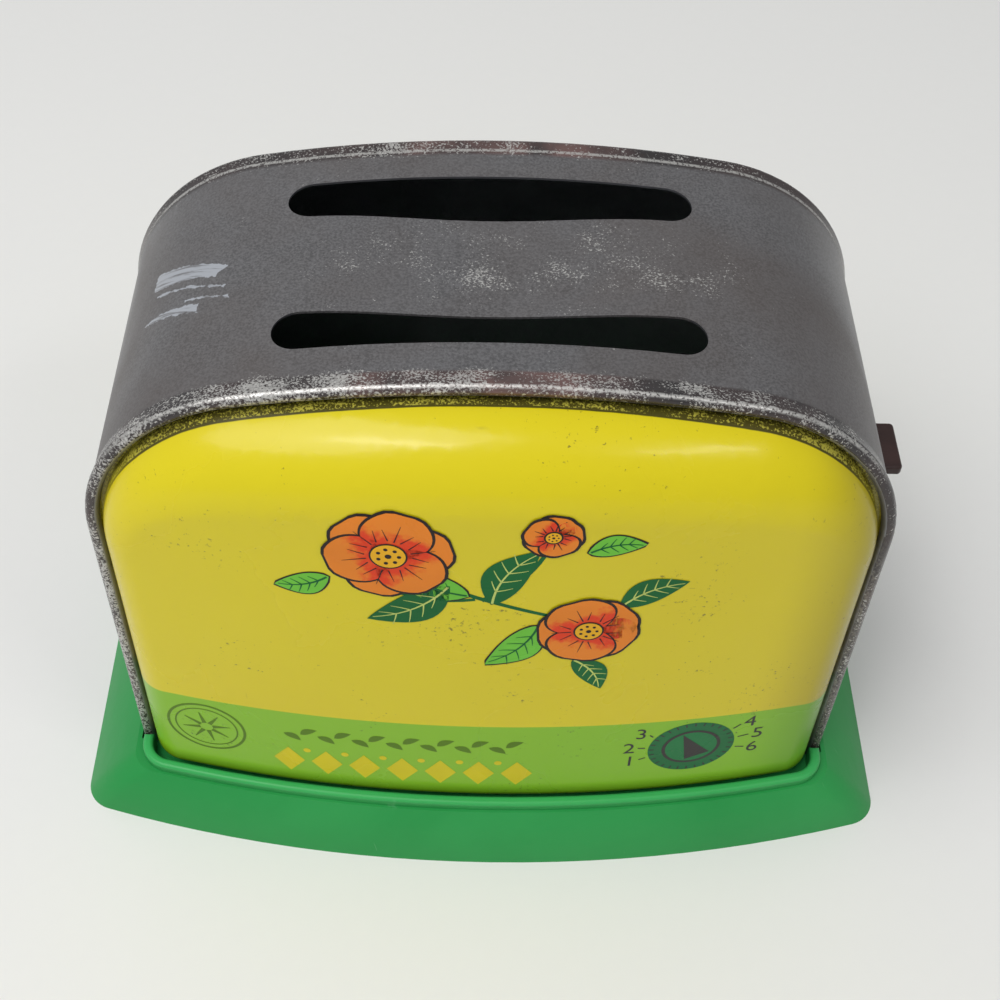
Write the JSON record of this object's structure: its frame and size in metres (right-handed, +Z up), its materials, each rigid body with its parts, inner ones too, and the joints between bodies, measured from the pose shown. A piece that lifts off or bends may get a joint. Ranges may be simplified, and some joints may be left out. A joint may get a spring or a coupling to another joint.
{
  "type": "toy toaster",
  "caption": "Toy toaster: an arched tin body with domed panels, bread slots and a sprung lever carriage, held by folded tabs to a moulded base with a lip.",
  "frame": {"origin": "on the table, under the middle of the object's outer box", "axes": "+X to the lever's side, along the bread slots; -Y to the printed front; +Z up"},
  "size_m": [0.1538, 0.0996, 0.1078],
  "materials": {
    "wrap_tin": "worn grey lacquer on tinplate",
    "panel_print": "glossy printed tinplate",
    "base_plastic": "moulded plastic, satin",
    "inner_tin": "bare tinplate",
    "rivet_metal": "bare",
    "knob_plastic": "moulded plastic",
    "rod_steel": "drawn wire",
    "spring_steel": "oiled spring steel",
    "screw_steel": "zinc plated"
  },
  "bodies": {
    "housing": {"body_wrap": "wrap_tin", "front_panel": "panel_print", "rear_panel": "panel_print", "base": "base_plastic", "guide_bracket_right": "inner_tin", "guide_bracket_left": "inner_tin", "guide_rod_right": "rod_steel", "guide_rod_left": "rod_steel", "rod_push_nuts": "rod_steel", "return_spring_right": "spring_steel", "return_spring_left": "spring_steel", "bracket_screws": "screw_steel", "catch_clip": "spring_steel"},
    "carriage": {"toast_tray_front": "inner_tin", "toast_tray_rear": "inner_tin", "cross_bar_right": "inner_tin", "cross_bar_left": "inner_tin", "tray_rivets": "rivet_metal", "lever_rivets": "rivet_metal", "lever_arm": "inner_tin", "lever_knob": "knob_plastic"}
  },
  "joints": [
    {"name": "lever_slide", "type": "slide", "parent": "housing", "child": "carriage", "axis": [0, 0, -1], "range_m": [0, 0.028], "stiffness_N_per_m": 60, "springref_m": -0.012, "deforming": ["return_spring_right", "return_spring_left"]}
  ]
}
